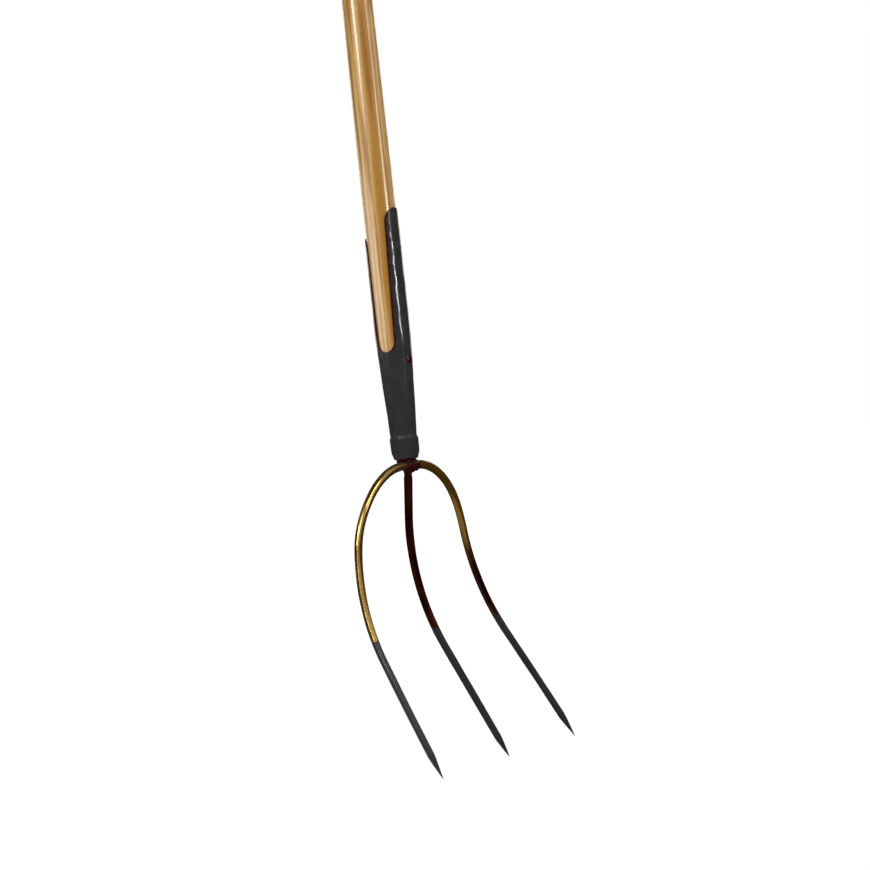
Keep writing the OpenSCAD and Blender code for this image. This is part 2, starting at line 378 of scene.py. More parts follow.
@dataclass(frozen=True)
class TurnedAsh:
    """Turned ash under clear gloss lacquer.

    Ash is a pale tan wood whose rings start with a band of open pores, which shows as long brown
    streaks where the turning cuts the rings at a slant. The lacquer lays an even gloss over them.
    A ring is ring wide, and the pith stands beside the handle's axis and leans a little from it. It
    stands on the camera's side, so the browner heartwood near it faces the camera, and the paler wood
    on either side of it is partly painted sheen where the lamps' highlights fall.
    """

    late_wood: str = "#D2AA68"
    early_wood: str = "#BC8E48"
    heart_streak: str = "#945C0E"
    pore: str = "#7E521C"
    ring: float = 4.4
    heart_wood_facing_camera: str = "#AA7216"
    pith: tuple[float, float] = (25.5, 20.0)
    pith_lean: tuple[float, float] = (0.25, -0.25)
    heart_and_sheen_reach: tuple[float, float] = (18.0, 15.2)
    wander: float = 12.0

    def material(self) -> bpy.types.Material:
        """Builds the finish from distances to the tree's pith, which runs beside the handle.

        Returns:
            The material.
        """
        material, tree, shader = new_finish("turned_ash_lacquered")
        place = add_node(tree, "TexCoord").outputs["Object"]
        # The grain wanders by a few millimetres over a hand's length.
        slow = add_node(tree, "Mapping", {"Vector": place, "Scale": (45, 45, 3.2)})
        wander = add_node(tree, "TexNoise", {"Vector": slow, "Scale": 1.0, "Detail": 2.0})
        sway = add_node(tree, "VectorMath", {0: wander.outputs["Color"], 1: (0.5, 0.5, 0.5)},
                        operation="SUBTRACT")
        shift = add_node(tree, "VectorMath", {0: sway, 1: (self.wander * MM, self.wander * MM, 0.0)},
                         operation="MULTIPLY")
        bent = add_node(tree, "VectorMath", {0: place, 1: shift}, operation="ADD")
        from_pith = add_node(tree, "Mapping", {
            "Vector": bent,
            "Location": (self.pith[0] * MM, self.pith[1] * MM, 0),
            "Rotation": (math.radians(self.pith_lean[0]), math.radians(self.pith_lean[1]), 0)})
        flat = add_node(tree, "VectorMath", {0: from_pith, 1: (1, 1, 0)}, operation="MULTIPLY")
        reach = add_node(tree, "VectorMath", {0: flat}, operation="LENGTH").outputs["Value"]
        years = add_node(tree, "Math", {0: reach, 1: 1 / (self.ring * MM)}, operation="MULTIPLY")
        season = add_node(tree, "Math", {0: years}, operation="FRACT")
        early = add_node(tree, "MapRange", {"Value": season, "From Min": 0.05, "From Max": 0.65,
                                            "To Min": 1.0, "To Max": 0.0}, interpolation_type="SMOOTHSTEP")
        wood = add_node(tree, "Mix", {0: early, FIRST: linear_colour(self.late_wood),
                                      SECOND: linear_colour(self.early_wood)}, data_type="RGBA")
        # The wood near the pith is browner: a broad band on the side that faces the camera. Its paler sides
        # are partly painted sheen, set where the lamps' highlights fall on the handle.
        heart_and_sheen = add_node(tree, "MapRange", {"Value": reach, "From Min": self.heart_and_sheen_reach[0] * MM,
                                            "From Max": self.heart_and_sheen_reach[1] * MM,
                                            "To Min": 0.0, "To Max": 0.8}, interpolation_type="SMOOTHSTEP")
        heart_and_sheen_wood = add_node(tree, "Mix", {0: heart_and_sheen, FIRST: wood.outputs[MIXED],
                                         SECOND: linear_colour(self.heart_wood_facing_camera)}, data_type="RGBA")
        # Brown streaks a finger long and two or three millimetres wide.
        long = add_node(tree, "Mapping", {"Vector": bent, "Scale": (210, 210, 9)})
        brown = add_node(tree, "TexNoise", {"Vector": long, "Scale": 1.0, "Detail": 3.0})
        streak = add_node(tree, "MapRange", {"Value": brown, "From Min": 0.46, "From Max": 0.66,
                                             "To Min": 0.0, "To Max": 0.75}, interpolation_type="SMOOTHSTEP")
        streaked = add_node(tree, "Mix", {0: streak, FIRST: heart_and_sheen_wood.outputs[MIXED],
                                          SECOND: linear_colour(self.heart_streak)}, data_type="RGBA")
        # Pores are a third of a millimetre wide on ash, and are drawn twice as wide to show at all.
        fine = add_node(tree, "Mapping", {"Vector": place, "Scale": (1500, 1500, 95)})
        holes = add_node(tree, "TexNoise", {"Vector": fine, "Scale": 1.0, "Detail": 1.0})
        pores = add_node(tree, "MapRange", {"Value": holes, "From Min": 0.56, "From Max": 0.68,
                                            "To Min": 0.0, "To Max": 0.6})
        open_pores = add_node(tree, "Math", {0: pores, 1: early}, operation="MULTIPLY")
        grained = add_node(tree, "Mix", {0: open_pores, FIRST: streaked.outputs[MIXED],
                                         SECOND: linear_colour(self.pore)}, data_type="RGBA")
        rough = add_node(tree, "MapRange", {"Value": open_pores, "To Min": 0.42, "To Max": 0.6})
        feed(tree, shader, {"Base Color": grained.outputs[MIXED], "Roughness": rough,
                            "Coat Weight": 1.0, "Coat Roughness": 0.16, "Coat IOR": 1.6,
                            "Specular IOR Level": 0.05})
        return material


@dataclass(frozen=True)
class DipPaint:
    """Charcoal dip paint on pressed sheet steel.

    The paint is thick and nearly matt, with blotches blotch wide and a faint orange peel. It is thin
    on sheared edges, where the brown lacquer that the whole head was dipped in first shows as a dark
    red-brown line, ragged by chips chip wide. On the straps that line is drawn wider and darker than
    the wear alone, as painted shade of the gap between strap and handle.
    """

    paint: str = "#333334"
    worn_edge_and_shade: str = "#380604"
    blotch: float = 14.0
    chip: float = 4.0
    peel: float = 3.0
    gloss: float = 0.13

    def material(self) -> bpy.types.Material:
        """Builds the finish: a mottled charcoal, turned red-brown where the mark is high.

        Returns:
            The material.
        """
        material, tree, shader = new_finish("charcoal_dip_paint")
        place = add_node(tree, "TexCoord").outputs["Object"]
        blotch = add_node(tree, "TexNoise", {"Vector": place, "Scale": 1 / (self.blotch * MM),
                                             "Detail": 4.0})
        shade = add_node(tree, "MapRange", {"Value": blotch, "From Min": 0.3, "From Max": 0.7,
                                            "To Min": 0.85, "To Max": 1.12})
        mottled = add_node(tree, "VectorMath", {"Scale": shade, 0: linear_colour(self.paint)[:3]},
                           operation="SCALE")
        # Where the mark is high the paint turns dark red-brown: worn edges and rivet heads, patches towards
        # the ring's foot, and along the straps' edges also painted shade of the gap between strap and
        # handle.
        rim = add_node(tree, "Attribute", attribute_name="mark").outputs["Fac"]
        ragged = add_node(tree, "TexNoise", {"Vector": place, "Scale": 1 / (self.chip * MM), "Detail": 3.0})
        edge = add_node(tree, "Math", {0: rim, 1: ragged}, operation="ADD")
        worn = add_node(tree, "MapRange", {"Value": edge, "From Min": 1.0, "From Max": 1.25},
                        interpolation_type="SMOOTHSTEP")
        colour = add_node(tree, "Mix", {0: worn, FIRST: mottled,
                                        SECOND: linear_colour(self.worn_edge_and_shade)}, data_type="RGBA")
        rough = add_node(tree, "MapRange", {"Value": blotch, "From Min": 0.3, "From Max": 0.7,
                                            "To Min": 0.12, "To Max": 0.19})
        skin = add_node(tree, "TexNoise", {"Vector": place, "Scale": 1 / (self.peel * MM), "Detail": 1.0})
        bump = add_node(tree, "Bump", {"Height": skin, "Strength": 0.2, "Distance": 0.0002})
        feed(tree, shader, {"Base Color": colour.outputs[MIXED], "Roughness": rough, "Normal": bump,
                            "Specular IOR Level": self.gloss})
        return material


@dataclass(frozen=True)
class BrownLacquer:
    """Transparent brown lacquer on a round steel bar, its lower half dipped in charcoal paint.

    Where the lacquer is thin the steel shines through it as gold. Where it ran together it is a dark
    red-brown. It is darker below run_level, partly where it ran down the bar and partly as painted
    shade. Its surface is glossy. The paint reaches up to dip_line, which waves by dip_wave.
    """

    name: str
    thin: str
    thick: str
    thick_share: float
    run_and_shade_share: float
    run_level: float
    metal: float
    gloss: float
    run_fade: float = 30.0
    pool: float = 30.0
    paint: str = "#2D2F30"
    dip_line: float = -147.0
    dip_wave: float = 3.0
    dip_blur: float = 0.4
    sheen: str = "#8A6A4A"

    def material(self) -> bpy.types.Material:
        """Builds the finish: lacquered steel above the dip line, and paint below it.

        Returns:
            The material.
        """
        material, tree, shader = new_finish(self.name)
        coordinates = add_node(tree, "TexCoord")
        place = coordinates.outputs["Object"]
        level = add_node(tree, "SeparateXYZ", {0: place}).outputs["Z"]
        # Drawing marks are hair fine, and are drawn two or three millimetres wide.
        drawn = add_node(tree, "Mapping", {"Vector": coordinates.outputs["UV"],
                                           "Scale": (1 / 2.6, 1 / 40, 1)})
        marks = add_node(tree, "TexNoise", {"Vector": drawn, "Scale": 1.0, "Detail": 2.0})
        pools = add_node(tree, "TexNoise", {"Vector": place, "Scale": 1 / (self.pool * MM), "Detail": 3.0})
        both = add_node(tree, "Math", {0: marks, 1: pools}, operation="ADD")
        run = add_node(tree, "MapRange", {"Value": level, "From Min": (self.run_level + self.run_fade) * MM,
                                          "From Max": (self.run_level - self.run_fade) * MM,
                                          "To Min": 0.0, "To Max": self.run_and_shade_share},
                       interpolation_type="SMOOTHSTEP")
        together = add_node(tree, "Math", {0: both, 1: run}, operation="ADD")
        depth = add_node(tree, "MapRange", {"Value": together, "From Min": 1.15 - self.thick_share,
                                            "From Max": 1.6 - self.thick_share},
                         interpolation_type="SMOOTHSTEP")
        lacquer = add_node(tree, "Mix", {0: depth, FIRST: linear_colour(self.thin),
                                         SECOND: linear_colour(self.thick)}, data_type="RGBA")
        wave = add_node(tree, "TexNoise", {"Vector": place, "Scale": 1 / (2 * self.dip_wave * MM),
                                           "Detail": 2.0})
        lift = add_node(tree, "Math", {0: wave, 1: self.dip_wave * MM}, operation="MULTIPLY")
        line = add_node(tree, "Math", {0: level, 1: lift}, operation="ADD")
        middle = self.dip_line + self.dip_wave / 2
        bare = add_node(tree, "MapRange", {"Value": line, "From Min": (middle - self.dip_blur) * MM,
                                           "From Max": (middle + self.dip_blur) * MM},
                        interpolation_type="SMOOTHSTEP")
        mottle = add_node(tree, "MapRange", {"Value": pools, "From Min": 0.3, "From Max": 0.7,
                                             "To Min": 0.8, "To Max": 1.15})
        paint = add_node(tree, "VectorMath", {"Scale": mottle, 0: linear_colour(self.paint)[:3]},
                         operation="SCALE")
        colour = add_node(tree, "Mix", {0: bare, FIRST: paint, SECOND: lacquer.outputs[MIXED]},
                          data_type="RGBA")
        metal = add_node(tree, "Math", {0: bare, 1: self.metal}, operation="MULTIPLY")
        rough = add_node(tree, "MapRange", {"Value": bare, "To Min": 0.45, "To Max": 0.15})
        bump = add_node(tree, "Bump", {"Height": marks, "Strength": 0.03, "Distance": 0.0003})
        feed(tree, shader, {"Base Color": colour.outputs[MIXED], "Metallic": metal, "Roughness": rough,
                            "Normal": bump, "Specular IOR Level": 0.25,
                            "Specular Tint": linear_colour(self.sheen),
                            "Coat Weight": self.gloss, "Coat Roughness": 0.14})
        return material


# The same lacquer in three copies, golden on the left tine. The darker copies on the centre forging and the
# right tine, and the right tine's darker lower leg, are partly thicker lacquer and partly painted shade and
# painted dark reflection.
DARK_SHADED_FORGING = BrownLacquer("dark_shaded_lacquered_forging", thin="#4E1C0A", thick="#1C0402", thick_share=0.25,
                            run_and_shade_share=0.1, run_level=-20, metal=0.6, gloss=0.15)
GOLDEN_BAR = BrownLacquer("golden_lacquered_steel", thin="#CC9E42", thick="#6A380C", thick_share=0.0,
                          run_and_shade_share=0.0, run_level=-60, metal=0.95, gloss=1.0)
RED_BROWN_SHADED_BAR = BrownLacquer("red_brown_shaded_lacquered_steel", thin="#A87C28", thick="#3C0F07", thick_share=0.05,
                             run_and_shade_share=0.55, run_level=-75, metal=0.85, gloss=0.2)


@dataclass(frozen=True)
class WeldLacquer:
    """Rough weld metal under thick brown lacquer: near black, with dark red lights on the lumps."""

    hollow: str = "#0C0505"
    lump: str = "#520D07"
    grit: float = 3.2

    def material(self) -> bpy.types.Material:
        """Builds the finish: one noise gives the colour, the roughness and the bump.

        Returns:
            The material.
        """
        material, tree, shader = new_finish("lacquered_weld")
        place = add_node(tree, "TexCoord").outputs["Object"]
        grit = add_node(tree, "TexNoise", {"Vector": place, "Scale": 1 / (self.grit * MM), "Detail": 3.0})
        tone = add_node(tree, "MapRange", {"Value": grit, "From Min": 0.42, "From Max": 0.65},
                        interpolation_type="SMOOTHSTEP")
        colour = add_node(tree, "Mix", {0: tone, FIRST: linear_colour(self.hollow),
                                        SECOND: linear_colour(self.lump)}, data_type="RGBA")
        rough = add_node(tree, "MapRange", {"Value": grit, "From Min": 0.3, "From Max": 0.7,
                                            "To Min": 0.3, "To Max": 0.5})
        bump = add_node(tree, "Bump", {"Height": grit, "Strength": 0.35, "Distance": 0.0005})
        feed(tree, shader, {"Base Color": colour.outputs[MIXED], "Roughness": rough, "Normal": bump,
                            "Specular IOR Level": 0.1})
        return material


@dataclass(frozen=True)
class SocketCone:
    """The outside of the socket's cone, which the handle's foot, the ring and the plug are fitted to."""

    mouth: float = 8.1
    mouth_r: float = 11.05
    slope: float = 5.05 / 105

    def radius(self, z: float) -> float:
        """Radius at a level: it grows evenly upwards from the mouth."""
        return self.mouth_r + (z - self.mouth) * self.slope


CONE = SocketCone()


@dataclass(frozen=True)
class TineLines:
    """Centre lines and thicknesses of the three tines.

    The points lie drop below the crown and reach before it, and the outer ones spread apart. In the
    side view the centre tine starts neck_set before the handle's axis, runs straight at the angle
    lean for the length neck, bends, and ends straight at the angle sweep. The outer tines lie
    outer_set before it. They start at seat from the middle, run level as far as spring, and turn by
    arch_turn in the arch and leg_bow in the leg. Every bar thins from thick to end_thick, by
    arch_share of that in the arch, and its forged point is point long and tip_thick at the end.
    """

    drop: float = 265.5
    reach: float = 73.0
    spread: float = 246.5
    thick: float = 7.8
    end_thick: float = 6.3
    point: float = 20.0
    tip_thick: float = 0.6
    lean: float = 5.9
    sweep: float = 27.9
    neck: float = 45.0
    neck_set: float = 1.1
    outer_set: float = 2.7
    arch_turn: float = 78.1
    leg_bow: float = 7.0
    seat: float = 4.0
    spring: float = 11.6
    arch_share: float = 21 / 43

    @property
    def neck_end(self) -> tuple[float, float]:
        """Y and Z of the lower end of the straight neck."""
        lean = math.radians(self.lean)
        return (-self.neck_set + self.neck * math.sin(lean), -self.neck * math.cos(lean))

    @property
    def bend_radius(self) -> float:
        """Radius of the bend between the neck and the straight lower stretch, in the side view.

        It is the one with which the straight stretch, at the angle sweep, ends at reach and drop.

        Returns:
            The radius.
        """
        lean, sweep = math.radians(self.lean), math.radians(self.sweep)
        y, z = self.neck_end
        slope = math.tan(sweep)
        return ((z + self.drop) * slope - y - self.reach) / (
            math.cos(sweep) - math.cos(lean) + (math.sin(sweep) + math.sin(lean)) * slope)

    @property
    def bend_middle(self) -> tuple[float, float]:
        """The bend's centre, square to the neck at its lower end.

        Returns:
            Its Y and Z.
        """
        lean = math.radians(self.lean)
        y, z = self.neck_end
        return (y - self.bend_radius * math.cos(lean), z - self.bend_radius * math.sin(lean))

    @property
    def bend_end(self) -> tuple[float, float]:
        """The bend's lower end, where its direction is the sweep.

        Returns:
            Its Y and Z.
        """
        sweep = math.radians(self.sweep)
        y, z = self.bend_middle
        return (y + self.bend_radius * math.cos(sweep), z - self.bend_radius * math.sin(sweep))

    def side_y(self, z: np.ndarray) -> np.ndarray:
        """The centre tine's axis in the side view: a straight neck, a round bend, a straight end.

        Args:
            z: Levels.

        Returns:
            Y at each level.
        """
        middle_y, middle_z = self.bend_middle
        end_y, end_z = self.bend_end
        neck = -self.neck_set - z * math.tan(math.radians(self.lean))
        bend = middle_y + np.sqrt(np.maximum(self.bend_radius ** 2 - (z - middle_z) ** 2, 0))
        lower = end_y - (end_z - z) * math.tan(math.radians(self.sweep))
        return np.select([z > self.neck_end[1], z > end_z], [neck, bend], lower)

    def thinned(self, share: np.ndarray) -> np.ndarray:
        """Radius of a bar that thins evenly, at each share of the way to its point."""
        return self.thick / 2 + (self.end_thick - self.thick) / 2 * share

    def pointed(self, share: np.ndarray) -> np.ndarray:
        """Radius down the forged point, which draws in a little faster towards its end."""
        return self.end_thick / 2 * (1 - (1 - self.tip_thick / self.end_thick) * share ** 1.2)

    def outer_axis(self) -> tuple[np.ndarray, np.ndarray]:
        """The right tine's axis: level out of the crown, round one arch, and down a bowed leg.

        Seen from the front the arch is the circle (spring + R sin t, -R (1 - cos t)), and the leg is
        a much wider circle that goes on in the same direction and ends at half the spread. Seen from
        the side both follow side_y, set forward by outer_set.

        Returns:
            Points of the axis, and the radius at each.
        """
        arch, bow = math.radians(self.arch_turn), math.radians(self.leg_bow)
        chord = arch + bow / 2
        arch_r = (self.spread / 2 - self.spring - self.drop / math.tan(chord)) / (
            math.sin(arch) - (1 - math.cos(arch)) / math.tan(chord))
        end_x = self.spring + arch_r * math.sin(arch)
        end_z = -arch_r * (1 - math.cos(arch))
        leg = math.hypot(self.spread / 2 - end_x, self.drop + end_z)
        bow_r = leg / (2 * math.sin(bow / 2))
        out = np.linspace(0, 1, 7)[:-1]
        round_turn = np.linspace(0, arch, 96)[:-1]
        full = bow * (1 - self.point / leg)
        leg_turn = np.concatenate([np.linspace(0, full, 120)[:-1], np.linspace(full, bow, 26)])
        x = np.concatenate([
            self.seat + (self.spring - self.seat) * out,
            self.spring + arch_r * np.sin(round_turn),
            end_x + bow_r * (np.sin(arch + leg_turn) - math.sin(arch))])
        z = np.concatenate([
            0 * out,
            -arch_r * (1 - np.cos(round_turn)),
            end_z - bow_r * (math.cos(arch) - np.cos(arch + leg_turn))])
        share = np.concatenate([
            0 * out,
            self.arch_share * round_turn / arch,
            self.arch_share + (1 - self.arch_share) * np.minimum(leg_turn / full, 1)])
        down_point = np.concatenate([0 * out, 0 * round_turn, np.maximum(leg_turn - full, 0) / (bow - full)])
        radii = np.where(down_point > 0, self.pointed(down_point), self.thinned(share))
        return np.stack([x, self.side_y(z) - self.outer_set, z], 1), radii


def capped(path: np.ndarray, along: np.ndarray, radii: np.ndarray,
           end_round: float) -> tuple[np.ndarray, np.ndarray, np.ndarray]:
    """Closes a bar's ends: a flat root, and a small round tip that stands end_round past the path.

    Args:
        path: Points of the axis.
        along: Direction at each.
        radii: Radius at each.
        end_round: How far the tip stands past the last point.

    Returns:
        The longer path, directions and radii.
    """
    tip = path[-1] + end_round * along[-1] * np.array([[0.5], [0.85], [1.0]])
    shrink = np.array([0.87, 0.5, 0.0]) * radii[-1]
    return (np.concatenate([path[:1], path, tip]),
            np.concatenate([along[:1], along, np.repeat(along[-1:], 3, 0)]),
            np.concatenate([[0.0], radii, shrink]))


@dataclass
class OuterTine:
    """One outer tine: a drawn round bar, bent hot into half an arch and forged to a point."""

    side: Side
    lines: TineLines
    sides: int = 40
    uneven: float = 0.07
    wave: float = 26.0
    seed: int = 7

    def mesh(self) -> bpy.types.Mesh:
        """Carries the bar's circle along its axis. The left tine is the right one with X turned round.

        Returns:
            The tine's mesh.
        """
        path, radii = self.lines.outer_axis()
        path = path * np.array([self.side.value, 1, 1])
        along = unit(np.gradient(path, axis=0))
        path, along, radii = capped(path, along, radii, self.lines.tip_thick / 2)
        uneven = Uneven(self.uneven, self.wave, self.seed + self.side.value)
        grid = swept(path, along, (0.0, 1.0, 0.0), radii, self.sides, uneven)
        return closed_mesh(f"{self.side.name.lower()}_spring_tine", [grid])

    def build(self, finish: BrownLacquer) -> None:
        """Makes the tine and dresses it."""
        place_piece(self.mesh(), f"{self.side.name.lower()}_tine", finish.material())


@dataclass
class CentreForging:
    """The centre tine in one piece with the crown, the plug in the socket's mouth and the tang.

    The crown reaches from the socket's mouth down to crown_foot below the origin. The plug stands
    in the mouth, plug high and plug_gap inside the socket's outer face.
    """

    lines: TineLines
    crown_thick: float = 17.8
    crown_foot: float = 9.0
    plug: float = 12.0
    plug_gap: float = 1.4
    root_inset: float = 0.4
    tang_thick: float = 9.0
    tang_top: float = 111.5
    sides: int = 48
    uneven: Uneven = Uneven(0.07, 26.0, 5)

    def upper_profile(self) -> np.ndarray:
        """Radius and level from the tang's tip down to the crown's foot.

        The crown's underside is a curve: its radius grows with the square of the height above its foot.

        Returns:
            The profile's points, one to a row.
        """
        tang_r = self.tang_thick / 2
        plug_top = CONE.mouth + self.plug
        plug_r = CONE.mouth_r - self.plug_gap
        top_r = plug_r + self.plug * CONE.slope
        crown_r = self.crown_thick / 2
        share = np.linspace(1, 0, 24)
        curve_top = self.lines.thick / 2
        root_r = self.lines.thick / 2 - self.root_inset
        curve = np.stack([root_r + (crown_r - root_r) * share ** 2,
                          -self.crown_foot + (curve_top + self.crown_foot) * share], 1)
        tang = np.array([[0, self.tang_top], [tang_r / 2, self.tang_top], [tang_r, self.tang_top - tang_r]])
        shank = np.stack([np.full(20, tang_r), np.linspace(self.tang_top - tang_r, plug_top, 20)], 1)[1:]
        plug = np.array([[top_r, plug_top], [plug_r, CONE.mouth], [crown_r, CONE.mouth]])
        return np.concatenate([tang, shank, plug, curve])

    def mesh(self) -> bpy.types.Mesh:
        """Carries the profile down one axis, which leaves the handle's line below the crown.

        Returns:
            The forging's mesh.
        """
        lines = self.lines
        upper = self.upper_profile()
        point_level = -lines.drop + lines.point * math.cos(math.radians(lines.sweep))
        bend = np.linspace(-self.crown_foot, point_level, 190)
        tip = np.linspace(bend[-1], -lines.drop, 26)[1:]
        share = (bend + self.crown_foot) / (bend[-1] + self.crown_foot)
        z = np.concatenate([upper[:, 1], bend[1:], tip])
        radii = np.concatenate([
            upper[:, 0],
            np.maximum(lines.thinned(share), lines.thick / 2 * (share < 0.02))[1:],
            lines.pointed((bend[-1] - tip) / (bend[-1] - tip[-1]))])
        y = self.axis_y(z)
        slope = self.axis_y(z + 0.5) - self.axis_y(z - 0.5)
        along = unit(np.stack([0 * z, -slope, -np.ones_like(z)], 1))
        path = np.stack([0 * z, y, z], 1)
        path, along, radii = capped(path, along, radii, lines.tip_thick / 2)
        grid = swept(path, along, (1.0, 0.0, 0.0), radii, self.sides, self.uneven)
        return closed_mesh("forged_centre_tine", [grid])

    def axis_y(self, z: np.ndarray) -> np.ndarray:
        """Y of the axis: on the handle's line above the crown, and on the tine's side view below it."""
        return self.lines.side_y(z) * ease(z, 2.0, -self.crown_foot)

    def build(self, finish: BrownLacquer) -> None:
        """Makes the forging and dresses it."""
        place_piece(self.mesh(), "centre_tine", finish.material())


@dataclass
class AshHandle:
    """The handle: a long turned pole with a tapered foot, bored for the tang, and a rounded top.

    The foot lies wall inside the socket's outer face, up to cone_top. Above it the pole goes over
    from foot_thick to grip_thick between the two levels of swell.
    """

    wall: float = 1.4
    cone_top: float = 113.1
    foot_thick: float = 29.4
    grip_thick: float = 27.8
    swell: tuple[float, float] = (282.1, 422.1)
    top_round: float = 9.0
    bore: float = 9.2
    bore_top: float = 112.5
    bevel: float = 0.4
    sides: int = 80
    uneven: Uneven = Uneven(0.1, 70.0, 3)

    def profile(self) -> np.ndarray:
        """Radius and level down the bore, over the foot, up the pole and over the rounded top.

        The pole's radius goes over from that of its foot to that of the grip by a smooth step.

        Returns:
            The profile's points, one to a row.
        """
        low, high = box_mm("handle")
        foot, top = low[2], high[2]
        foot_r = CONE.radius(foot) - self.wall
        bore = [[0, self.bore_top], [self.bore / 2, self.bore_top], [self.bore / 2, foot],
                [foot_r - self.bevel, foot]]
        levels = np.arange(self.cone_top, top - self.top_round, 5.0)
        swell = ease(levels, *self.swell)
        radii = self.foot_thick / 2 + (self.grip_thick - self.foot_thick) / 2 * swell
        pole = np.stack([radii, levels], 1)
        crest_middle = (self.grip_thick / 2 - self.top_round, top - self.top_round)
        crest = rounded(crest_middle, self.top_round, 0, 90, 14)
        return np.concatenate([bore, [[foot_r, foot + self.bevel]], pole, crest, [[0, top]]])

    def build(self, finish: TurnedAsh) -> None:
        """Turns the handle, with the slight waviness of a sanded pole, and dresses it."""
        grid = lathed(self.profile(), self.sides, self.uneven)
        place_piece(closed_mesh("turned_ash_handle", [grid]), "handle", finish.material())


@dataclass
class StrapSocket:
    """The socket: a sheet steel cone that opens, between two notches, into a front and a back strap.

    The cone is cone high and its wall is sheet thick. The notches' foot lies notch_below under the
    cone's top, where they are notch wide, and they widen to notch_top at the back strap's tip. The
    straps stand front_strap and back_strap above the cone's top. Sheared edges swell by edge_bulge,
    and their paint turns dark red-brown over about the distance worn: partly worn paint that shows the
    lacquer, partly painted shade of the gap between strap and handle.
    """

    mouth_r: float = 11.05
    cone: float = 105.0
    sheet: float = 1.3
    notch: float = 17.0
    notch_top: float = 21.2
    notch_below: float = 10.0
    front_strap: float = 119.0
    back_strap: float = 95.0
    edge_bulge: float = 0.3
    bend: float = 3.0
    columns: int = 72
    rim_steps: int = 9
    # How far from the edges the paint turns dark red-brown: worn paint, and painted shade of the gap beside
    # the handle.
    worn: float = 2.5
    far_from_edge: float = 9.0
    waves: tuple[Uneven, ...] = (Uneven(0.10, 24.0, 11), Uneven(0.07, 10.0, 12))

    def __post_init__(self) -> None:
        """Takes the levels and the straps' radius from the solid."""
        low, high = box_mm("strap_socket")
        self.mouth = low[2]
        self.strap_r = high[1]
        self.cone_top = self.mouth + self.cone
        self.notch_foot = self.cone_top - self.notch_below

    def radius(self, z: np.ndarray) -> np.ndarray:
        """Outside radius: the cone and the straight straps, joined by a short soft bend.

        With d the depth below the cone's top it is strap_r less slope bend log(1 + exp(d / bend)).

        Args:
            z: Levels.

        Returns:
            The radius at each level.
        """
        slope = (self.strap_r - self.mouth_r) / self.cone
        return self.strap_r - slope * self.bend * np.logaddexp(0, (self.cone_top - z) / self.bend)

    def notch_half(self, z: np.ndarray) -> np.ndarray:
        """Half the width of the notches, which widen evenly from their round foot.

        Args:
            z: Levels.

        Returns:
            Half the width at each level.
        """
        foot = self.notch_foot + self.notch / 2
        slope = (self.notch_top - self.notch) / 2 / (self.cone_top + self.back_strap - foot)
        return self.notch / 2 + slope * (z - foot)

    def outline(self, tip: float) -> tuple[np.ndarray, np.ndarray]:
        """The edge of one strap in the unrolled sheet: distance from the strap's middle, and level.

        It rises round a quarter of the notch's foot, straight up, and over a quarter of the tip's
        circle. The points lie closer together, as a cosine, where the edge turns.

        Args:
            tip: Level of the strap's tip.

        Returns:
            Distances from the middle line of the strap, and levels, from the notch's foot to the tip.
        """
        half = self.notch / 2
        foot = self.notch_foot + half
        tip_r = math.sqrt(self.strap_r ** 2 - self.notch_half(np.array(tip - self.strap_r)) ** 2)
        turn = np.linspace(0, math.pi / 2, 22)
        z = np.concatenate([
            foot - half * np.cos(turn),
            np.linspace(foot, tip - tip_r, 58)[1:-1],
            tip - tip_r * (1 - np.sin(turn))])
        gap = np.where(z < foot, np.sqrt(np.maximum(half ** 2 - (foot - z) ** 2, 0)), self.notch_half(z))
        across = np.sqrt(np.clip(tip_r ** 2 - np.maximum(z - tip + tip_r, 0) ** 2, 0, None))
        beside_notch = np.arccos(np.clip(gap / self.radius(z), 0, 1))
        in_tip = np.where(z > tip - tip_r, np.arcsin(np.clip(across / self.strap_r, 0, 1)), math.pi)
        return self.radius(z) * np.minimum(beside_notch, in_tip), z

    def on_sheet(self, middle: float, reach: np.ndarray, z: np.ndarray, depth: np.ndarray) -> np.ndarray:
        """Points of the rolled sheet, at a depth below its outer face.

        The point lies at angle reach / radius from the strap's middle line, and is moved in or out by
        the waviness that the press left.

        Args:
            middle: Sign of Y on which the strap lies.
            reach: Distances along the sheet from the strap's middle line.
            z: Levels.
            depth: Depths below the outer face.

        Returns:
            The points.
        """
        radius = self.radius(z)
        angle = reach / radius
        aim = np.stack([np.sin(angle), middle * np.cos(angle), 0 * angle], -1)
        face = aim * radius[..., None] + np.stack([0 * z, 0 * z, z], -1)
        lift = sum(wave.lift(face) for wave in self.waves)
        return face + aim * (lift - depth)[..., None]

    def sheet_grid(self, middle: float, reach: np.ndarray, z: np.ndarray, depth: np.ndarray | float,
                   mark: np.ndarray | float) -> Grid:
        """A grid on the rolled sheet, from arrays that are spread to one shape.

        Args:
            middle: Sign of Y on which the strap lies.
            reach: Distances along the sheet from the strap's middle line.
            z: Levels.
            depth: Depths below the outer face.
            mark: How near an edge it is.

        Returns:
            The grid.
        """
        reach, z, depth, mark = np.broadcast_arrays(reach, z, depth, mark)
        return Grid(self.on_sheet(middle, reach, z, depth), np.stack([reach, z], -1), mark)

